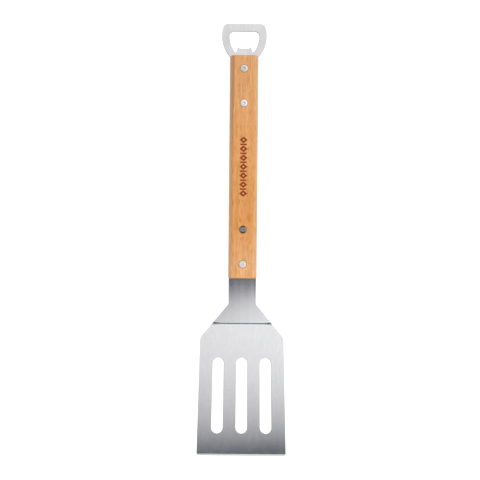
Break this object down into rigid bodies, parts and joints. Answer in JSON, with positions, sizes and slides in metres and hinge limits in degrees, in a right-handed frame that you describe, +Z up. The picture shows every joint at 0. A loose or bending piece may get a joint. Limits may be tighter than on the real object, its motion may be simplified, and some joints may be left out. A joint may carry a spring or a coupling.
{
  "type": "grill spatula",
  "caption": "Slotted steel turner blade, bent up at its heel, on a long wooden handle that carries a flat bottle opener at its far end.",
  "frame": {"origin": "middle of the whole tool's length and width, on the table that it lies on", "axes": "+Y along the handle towards the bottle opener, -Y towards the blade's tip, +X across the tool, +Z up from the handle's underside"},
  "size_m": [0.0828, 0.4162, 0.0528],
  "materials": {
    "blade_steel": "rolled stainless sheet, satin with a faint lengthwise grain",
    "opener_steel": "matt tumbled stainless plate",
    "rivet_steel": "bright, slightly worn",
    "dark_rivet_steel": "darkened steel, dull",
    "beech": "oiled beech with open fleck and a burnt-in motif"
  },
  "bodies": {
    "root": {"blade": "blade_steel", "handle": "beech", "bottle_opener": "opener_steel", "rivet_pin_1": "rivet_steel", "rivet_post_1": "rivet_steel", "rivet_pin_2": "dark_rivet_steel", "rivet_post_2": "rivet_steel", "rivet_pin_3": "rivet_steel", "rivet_post_3": "rivet_steel", "rivet_pin_4": "rivet_steel", "rivet_post_4": "rivet_steel"}
  },
  "joints": []
}
